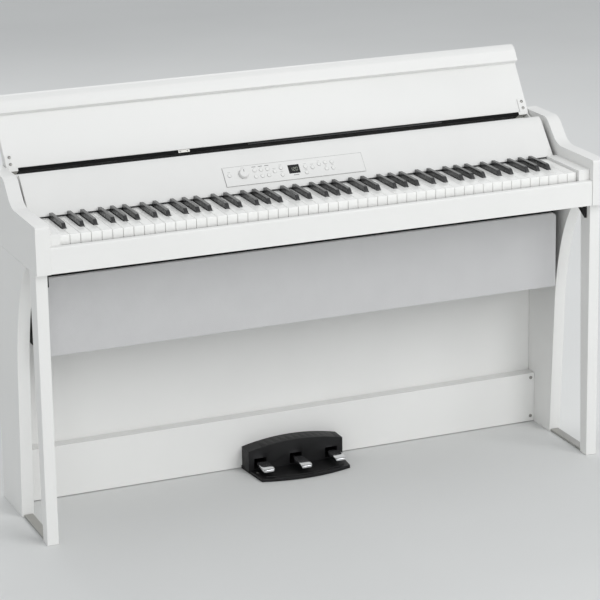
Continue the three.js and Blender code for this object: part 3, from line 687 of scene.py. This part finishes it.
def grille_outline(inset, y):
    """Outline of the frame, inset and at depth y, with its upper corners rounded."""
    half, low, high = GRILLE["half"] - inset, GRILLE["z"][0] + inset, GRILLE["z"][1] - inset
    ring = []
    for sx, centre_z, radius, start in ((1, low, 1.5, -90), (1, high, GRILLE["corner"], 0),
                                        (-1, high, GRILLE["corner"], 90), (-1, low, 1.5, 180)):
        radius = max(radius - inset, 0.6)
        up = -1 if centre_z == high else 1
        for k in range(CORNER_POINTS):
            turn = math.radians(start + 90 * k / (CORNER_POINTS - 1))
            ring.append(at(sx * (half - radius) + radius * math.cos(turn), y,
                           centre_z + up * radius + radius * math.sin(turn)))
    return ring


wraps = [(2.2, 0), (1.1, 0.2), (0.3, 0.9), (0, 2), (0, WRAP - 0.8), (0.5, WRAP - 0.2), (TUCK, WRAP)]
bm = loft([grille_outline(inset, GRILLE["front"] + back) for inset, back in wraps], caps=False)
bm.verts.ensure_lookup_table()
front_face = bm.faces.new([bm.verts[i] for i in range(4 * CORNER_POINTS)])
bmesh.ops.recalc_face_normals(bm, faces=bm.faces)
if front_face.normal.y > 0:
    bmesh.ops.reverse_faces(bm, faces=bm.faces)
speaker_cloth = new_piece("speaker_cloth", bm, cloth, "case")
wall = speaker_cloth.modifiers.new("cloth thickness", "SOLIDIFY")
wall.thickness, wall.offset = CLOTH_T * MM, -1
settle(speaker_cloth)
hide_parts("speaker_grille")

FRAME_FRONT, FRAME_BACK, FRAME_OUTER, FRAME_INNER, FRAME_CORNER = 138.2, 144, 2.5, 24, 5
rims = []
for inset, y in ((FRAME_OUTER, FRAME_FRONT), (FRAME_OUTER, FRAME_BACK),
                 (FRAME_INNER, FRAME_BACK), (FRAME_INNER, FRAME_FRONT)):
    half, low, high = GRILLE["half"] - inset, GRILLE["z"][0] + inset, GRILLE["z"][1] - inset
    rims.append([at(-half, y, low), at(half, y, low), at(half, y, high - FRAME_CORNER),
                 at(half - FRAME_CORNER, y, high), at(-half + FRAME_CORNER, y, high),
                 at(-half, y, high - FRAME_CORNER)])
bm = loft(rims + rims[:1], caps=False)
bmesh.ops.remove_doubles(bm, verts=bm.verts, dist=WELD)
bmesh.ops.recalc_face_normals(bm, faces=bm.faces)
round_edges(bm, 0.5)
new_piece("speaker_cloth_frame", bm, black_abs, "case")

# %% [markdown]
# ## Pedals
# Cast brass levers, plated and polished: a broad blunt nose with a soft top, narrowing to the
# shank that goes into the hood. Sections along the lever, each a rounded rectangle of its own
# width and thickness, give a shape that catches the light as the real casting does.

# %% Pedals
# distance from the nose: half width, top and bottom, in mm
PEDAL_SECTIONS = [(0.2, 8, 25.4, 21), (0.9, 11, 26.2, 20.4), (2.2, 12.8, 26.9, 20.1), (4.5, 13.6, 27.6, 20),
                  (8, 13.9, 28.6, 20), (14, 14, 29.5, 20), (22, 14, 30, 20), (40, 14, 30, 20),
                  (48, 13, 30, 20), (56, 11.5, 30, 20), (64, 10.3, 30, 20), (72, 10, 30, 20)]
PEDAL_BACK, SQUARENESS, AROUND = 272, 0.28, 24
PEDALS = {"soft_pedal": (-89, 178), "sostenuto_pedal": (0, 168), "damper_pedal": (89, 178)}      # x, nose


def pedal_ring(x, y, half, top, bottom):
    ring = []
    for k in range(AROUND):
        a = 2 * math.pi * k / AROUND
        cx, cz = math.cos(a), math.sin(a)
        ring.append(at(x + half * math.copysign(abs(cx) ** SQUARENESS, cx), y,
                       (top + bottom) / 2 + (top - bottom) / 2 * math.copysign(abs(cz) ** SQUARENESS, cz)))
    return ring


for body, (x, nose) in PEDALS.items():
    rings = [pedal_ring(x, nose + d, w, top, low) for d, w, top, low in PEDAL_SECTIONS]
    rings.append(pedal_ring(x, PEDAL_BACK, *PEDAL_SECTIONS[-1][1:]))
    lever = new_piece(f"{body}_lever", loft(rings), chrome, body)
    soften = lever.modifiers.new("soft casting", "SUBSURF")
    soften.levels = soften.render_levels = 1
    settle(lever)
    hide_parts(body)
print("three pedals")

# %% [markdown]
# The foot plate of the pedal unit has a raised bead along its curved front. It follows a path,
# so a tree sweeps a small circle along a quadratic curve.

# %% Bead of the foot plate
BEAD_HALF, BEAD_ENDS_Y, BEAD_PULL_Y, BEAD_Z, BEAD_RADIUS = 98, 185, 147, 8.4, 1.8
bead, given = begin("bead along a curve", Start="Vector", Middle="Vector", End="Vector", Radius="Float",
                    Finish="Material")
path = put(bead, "GeometryNodeCurveQuadraticBezier",
           {"Resolution": 28, "Start": given["Start"], "Middle": given["Middle"],
            "End": given["End"]}).outputs[0]
section = put(bead, "GeometryNodeCurvePrimitiveCircle", {"Resolution": 10, "Radius": given["Radius"]},
              mode="RADIUS").outputs["Curve"]
swept = put(bead, "GeometryNodeCurveToMesh",
            {"Curve": path, "Profile Curve": section, "Fill Caps": True}).outputs[0]
end(bead, swept, given["Finish"])
grow("pedal_plate_bead", bead, "case", "black_plastic", Start=at(-BEAD_HALF, BEAD_ENDS_Y, BEAD_Z),
     Middle=at(0, BEAD_PULL_Y, BEAD_Z), End=at(BEAD_HALF, BEAD_ENDS_Y, BEAD_Z),
     Radius=BEAD_RADIUS * MM, Finish=black_abs)

# %% [markdown]
# ## Lid arms
# Each arm is bent from zinc-plated steel. The flange that shows against the lid is painted
# white like the board, and the rest keeps its plating, so one piece carries two finishes.
# Two slanted frames are named first: one lies on the open lid, one on the control panel.

# %% Slanted frames and lid arms
LID_FOOT, LID_LEAN = (316.5, 766.5), 57
PANEL_FOOT, PANEL_SLOPE = (173.5, 689), 49.5
FLANGE_FROM = 0.2      # how far out of the lid's face the painted flange starts


def slanted(origin, degrees_from_floor):
    """Frame on a slanted face: x across, y up the slope, z out towards the player."""
    a = math.radians(degrees_from_floor)
    turned = Matrix(((1, 0, 0), (0, math.cos(a), -math.sin(a)), (0, math.sin(a), math.cos(a))))
    return Matrix.Translation(at(0, *origin)) @ turned.to_4x4()


ON_LID, ON_PANEL = slanted(LID_FOOT, LID_LEAN), slanted(PANEL_FOOT, PANEL_SLOPE)
for hand in HANDS:
    arm = ease(f"{hand}_lid_arm", 0.5, zinc)
    arm.data.materials.append(laminate)
    for face in arm.data.polygons:
        if (ON_LID.inverted() @ face.center).z > FLANGE_FROM * MM:
            face.material_index = 1
print("painted flange faces", sum(f.material_index for f in arm.data.polygons))

# %% [markdown]
# ## Screws
# Flat-pack furniture is held by pan-head screws with a cross. A point marks each screw and
# carries the direction it faces. The tree cuts a cross in one head, and copies that head to
# the points, turned to face the right way.

# %% Screws
HEAD_RADIUS, HEAD_HEIGHT, CROSS_FLOOR = 4.0, 2.0, 0.8


def lathe(profile):
    """A bmesh turned round z from (radius, height) pairs in mm."""
    turns = [2 * math.pi * k / AROUND for k in range(AROUND)]
    return loft([[Vector((r * math.cos(a), r * math.sin(a), z)) * MM for a in turns] for r, z in profile])


def marks(name, rows):
    """Mesh of loose points; each row is (place, facing, size)."""
    mesh = bpy.data.meshes.new(name)
    mesh.from_pydata([r[0] for r in rows], [], [])
    for label, column in (("facing", 1), ("size", 2)):
        values = mesh.attributes.new(label, "FLOAT_VECTOR", "POINT")
        for i, row in enumerate(rows):
            values.data[i].vector = row[column]
    return mesh


def on_slope(slope, x, u, w, size):
    """A row for marks: x across a slanted frame, u up it and w out of it, in mm."""
    return (slope @ (Vector((x, u, w)) * MM), slope.to_3x3() @ Vector((0, 0, 1)), size)


def turned_copies(tree, instance, points):
    """Copies on points, with z along the point's facing and scaled by its size."""
    facing, size = [put(tree, "GeometryNodeInputNamedAttribute", {"Name": label},
                        data_type="FLOAT_VECTOR").outputs[0] for label in ("facing", "size")]
    turn = put(tree, "FunctionNodeAlignRotationToVector", {"Vector": facing}, axis="Z").outputs[0]
    return put(tree, "GeometryNodeInstanceOnPoints",
               {"Points": points, "Instance": instance, "Rotation": turn, "Scale": size}).outputs[0]


head = lathe([(HEAD_RADIUS, -0.6), (HEAD_RADIUS, 0.9), (3.6, 1.5), (2.6, 1.85), (1.2, HEAD_HEIGHT),
              (0.2, HEAD_HEIGHT)])
a, b = 2.2, 0.45         # half length and half width of the cross
plus = [(-b, -a), (b, -a), (b, -b), (a, -b), (a, b), (b, b), (b, a), (-b, a), (-b, b), (-a, b),
        (-a, -b), (-b, -b)]
cross = push([Vector((x, y, CROSS_FLOOR)) * MM for x, y in plus], (0, 0, HEAD_HEIGHT * MM))

screws, given = begin("screws", Head="Object", Cross="Object", Finish="Material")
solid_head = put(screws, "GeometryNodeObjectInfo", {"Object": given["Head"]}).outputs["Geometry"]
recess = put(screws, "GeometryNodeObjectInfo", {"Object": given["Cross"]}).outputs["Geometry"]
cut = put(screws, "GeometryNodeMeshBoolean", {"Mesh 1": solid_head, "Mesh 2": recess},
          operation="DIFFERENCE").outputs[0]
end(screws, turned_copies(screws, cut, given[0]), given["Finish"])
SCREW_SHAPES = {"Head": shape("screw_head", head), "Cross": shape("screw_cross", cross)}

TO_FRONT, TO_BACK, UP = (0, -1, 0), (0, 1, 0), (0, 0, 1)
FULL, SMALL = (1, 1, 1), (0.7, 0.7, 0.7)
SOCKET_FACE, SOCKET_Z = 344, 670
# what a group holds: y of its face, the way it faces, x places, z places, size
SCREW_GROUPS = {
    "lower board": (281, TO_FRONT, (-635, 635), (15.5, 113), FULL),
    "sides of the stand's back": (324, TO_BACK, (-634, 634), (40, 230, 415, 590), FULL),
    "top and foot of the stand's back": (324, TO_BACK, (-400, 0, 400), (40, 590), FULL),
    "back of the instrument": (345, TO_BACK, (-610, -330, 0, 330, 610), (637, 734), FULL),
    "connector panel": (SOCKET_FACE, TO_BACK, (-214.5, -85.5), (SOCKET_Z,), SMALL),
    "foot plate of the pedals": (218, UP, (-104, 104), (8,), SMALL),
}
rows = [(at(x, y, z), facing, size) for y, facing, xs, zs, size in SCREW_GROUPS.values()
        for x in xs for z in zs]
BRACKET_SCREW = (638, 44, 598)
rows += [(at(side * BRACKET_SCREW[0], *BRACKET_SCREW[1:]), (-side, 0, 0), SMALL) for side in (-1, 1)]
grow("case_screws", screws, "case", "grey_steel", marks("case_screw_places", rows), Finish=nickel,
     **SCREW_SHAPES)
ARM_SCREW_X, ARM_SCREW_U, ARM_FACE = (-628, 628), (8.5, 25), 2
HINGE_SCREW_X, RAIL_U, HINGE_T = (-236, -219), -4, 0.5
rows = [on_slope(ON_LID, x, u, ARM_FACE, (0.9,) * 3) for x in ARM_SCREW_X for u in ARM_SCREW_U]
rows += [on_slope(ON_LID, x, RAIL_U, HINGE_T, (0.45,) * 3) for x in HINGE_SCREW_X]
grow("lid_screws", screws, "lid", "grey_steel", marks("lid_screw_places", rows), Finish=nickel,
     **SCREW_SHAPES)

# %% [markdown]
# ## Small blocks
# Printed dashes, painted shade lines along the edges of the control plate, the segments of the
# display, the chips on the board and the trim of the lid rail are all small blocks of a given
# size. One tree makes them from points.

# %% Small blocks
blocks, given = begin("small blocks", Finish="Material")
unit = put(blocks, "GeometryNodeMeshCube", {"Size": (MM, MM, MM)}).outputs[0]
end(blocks, turned_copies(blocks, unit, given[0]), given["Finish"])

PLATE_TOP, WINDOW_TOP, KNOB_TOP, PRINT = 2.6, 2.3, 10, 0.1
KNOB_X, KNOB_U = -129.6, 44.6


def on_panel(x, u, w, size):
    return on_slope(ON_PANEL, x, u, w, size)


TONE_X, TONE_MARK_U = (-101.9, -86.5, -71), 59.5
UNDER_DISPLAY = (-6.5, 28.4)
rows = [on_panel(x, TONE_MARK_U, PLATE_TOP, (9.5, 1.2, PRINT)) for x in TONE_X]
rows.append(on_panel(*UNDER_DISPLAY, PLATE_TOP, (13, 1.2, PRINT)))
grow("plate_dark_print", blocks, "case", "white_moulding", marks("dark_dashes", rows), Finish=dark_ink)

# x, u and width of each grey dash
PRINTED = [(-162.8, 52.4, 6), (-55.2, 50.4, 8), (-39, 57, 7), (-39, 40.6, 7), (19.2, 53.2, 7),
           (19.2, 38.4, 7), (35.9, 50, 7), (52.8, 56, 7), (68.5, 43.2, 5), (84.7, 43.2, 5),
           (KNOB_X, 60.4, 8)]
rows = [on_panel(x, u, PLATE_TOP, (width, 0.8, PRINT)) for x, u, width in PRINTED]
PLATE_X, PLATE_U = (-175.3, 161.3), (18.1, 65.7)
middle_x, middle_u = sum(PLATE_X) / 2, sum(PLATE_U) / 2
wide, high = PLATE_X[1] - PLATE_X[0], PLATE_U[1] - PLATE_U[0]
# Painted shade: grey lines along the plate's edges on the panel, and just inside its top and right edges.
rows += [on_panel(x, middle_u, 0.1, (0.8, high, 0.3)) for x in PLATE_X]
rows += [on_panel(middle_x, u, 0.1, (wide, 0.8, 0.3)) for u in PLATE_U]
rows.append(on_panel(middle_x, PLATE_U[1] - 0.8, PLATE_TOP, (wide - 2, 0.7, PRINT)))
rows.append(on_panel(PLATE_X[1] - 0.9, middle_u, PLATE_TOP, (0.7, high - 2, PRINT)))
grow("plate_grey_print", blocks, "case", "white_moulding", marks("grey_dashes", rows), Finish=grey_print_and_shade)
grow("knob_pointer", blocks, "volume_knob", "white_moulding",
     marks("pointer", [on_panel(KNOB_X, KNOB_U + 5.6, KNOB_TOP, (1.1, 6, PRINT))]), Finish=dark_ink)

# %% [markdown]
# The display shows three seven-segment digits. A segment is a block, and a short table says
# which of the seven are lit in each digit.

# %% Display digits
DIGIT_W, DIGIT_H, STROKE, DIGIT_STEP = 4.0, 8.0, 0.8, 6.4
DISPLAY_X, DISPLAY_U = -8.7, 43.5
SEGMENTS = {"top": (0, 1, True), "middle": (0, 0, True), "low": (0, -1, True), "left_up": (-1, 0.5, False),
            "right_up": (1, 0.5, False), "left_low": (-1, -0.5, False), "right_low": (1, -0.5, False)}
LIT_IN = {1: ("right_up", "right_low"), 2: ("top", "right_up", "middle", "left_low", "low"),
          0: ("top", "left_up", "right_up", "left_low", "right_low", "low")}
rows = []
for i, digit in enumerate((1, 2, 0)):
    for segment in LIT_IN[digit]:
        dx, du, lies = SEGMENTS[segment]
        size = (DIGIT_W - STROKE, STROKE, PRINT) if lies else (STROKE, DIGIT_H / 2 - STROKE, PRINT)
        x = DISPLAY_X + (i - 1) * DIGIT_STEP + dx * DIGIT_W / 2
        rows.append(on_panel(x, DISPLAY_U + du * DIGIT_H / 2, WINDOW_TOP, size))
grow("display_digits", blocks, "case", "display_window", marks("segments", rows), Finish=lit)
print("segments lit", len(rows))

# %% [markdown]
# The rail under the lid carries a hinge plate with two small screws, and a raised rubber strip
# with two nibs, which is as dull as felt and shares its finish. The main board carries chips:
# plain blocks in rows, each with a size of its own from a seed.

# %% Rail trim and chips
rows = [on_slope(ON_LID, sum(HINGE_SCREW_X) / 2, RAIL_U, HINGE_T / 2, (27, 6.4, HINGE_T))]
grow("rail_hinge_plate", blocks, "lid", "grey_steel", marks("rail_plate", rows), Finish=zinc)
STRIP_X, STRIP_U, STRIP_SIZE, NIB_X = 169.5, -4.2, (485, 3, 0.6), (208, 221)
rows = [on_slope(ON_LID, STRIP_X, STRIP_U, STRIP_SIZE[2] / 2, STRIP_SIZE)]
rows += [on_slope(ON_LID, x, RAIL_U, 0.8, (3, 3, 0.8)) for x in NIB_X]
grow("rail_rubber_strip", blocks, "lid", "black_plastic", marks("rail_strip", rows), Finish=felt)

CHIP_COLUMNS, CHIP_ROWS, BOARD_TOP = 14, 3, 647
CHIP_X, CHIP_Y, CHIP_STEP_X, CHIP_STEP_Y = -182, 279, 28, 18
rows = []
for i in range(CHIP_COLUMNS):
    for j in range(CHIP_ROWS):
        tall = random.uniform(1.2, 4)
        size = (random.uniform(5, 20), random.uniform(4, 13), tall)
        middle = at(CHIP_X + i * CHIP_STEP_X, CHIP_Y + j * CHIP_STEP_Y, BOARD_TOP + tall / 2)
        rows.append((middle, UP, size))
grow("board_chips", blocks, "case", "circuit_board", marks("chips", rows), Finish=epoxy)

# %% [markdown]
# ## Rings
# A thin grey line of painted shade runs round each cap of the plate and round the knob, where
# the gap there would hold shade, and each socket at the back has a metal rim. A tree bends a fine
# tube into a ring at each point.

# %% Rings
rings, given = begin("rings", Line="Float", Finish="Material")
loop = put(rings, "GeometryNodeCurvePrimitiveCircle", {"Resolution": 40, "Radius": MM},
           mode="RADIUS").outputs["Curve"]
laid = put(rings, "GeometryNodeRealizeInstances", {0: turned_copies(rings, loop, given[0])}).outputs[0]
tube = put(rings, "GeometryNodeCurvePrimitiveCircle", {"Resolution": 8, "Radius": given["Line"]},
           mode="RADIUS").outputs["Curve"]
bent = put(rings, "GeometryNodeCurveToMesh", {"Curve": laid, "Profile Curve": tube}).outputs[0]
end(rings, bent, given["Finish"])

CAP_SHADE_RING, KNOB_SHADE_RING, SOCKET_RING, SOCKET_X = 4.6, 12, 4.8, (-205, -182, -160)
CAP_SHADE_LINE, SOCKET_LINE = 0.16, 0.6
# x and u of the caps that stand alone or in record and playback pairs
CAPS = [(-162.8, 44.4), (-55.2, 42.9), (-39, 49.5), (-39, 32.3), (19.2, 45.7), (19.2, 31.1),
        (35.9, 42.1), (52.8, 48.2)]
CAPS += [(x, u) for x in TONE_X for u in (50.8, 35)] + [(x, u) for x in (68.5, 84.7) for u in (50.5, 35.1)]
# Painted shade: a grey ring in the gap round each cap, and one round the knob.
rows = [on_panel(x, u, PLATE_TOP, (CAP_SHADE_RING,) * 3) for x, u in CAPS]
rows.append(on_panel(KNOB_X, KNOB_U, PLATE_TOP, (KNOB_SHADE_RING,) * 3))
grow("cap_rings", rings, "case", "white_moulding", marks("ring_places", rows), Line=CAP_SHADE_LINE * MM,
     Finish=grey_print_and_shade)
rows = [(at(x, SOCKET_FACE, SOCKET_Z), TO_BACK, (SOCKET_RING,) * 3) for x in SOCKET_X]
grow("socket_rings", rings, "case", "grey_steel", marks("socket_places", rows), Line=SOCKET_LINE * MM,
     Finish=nickel)
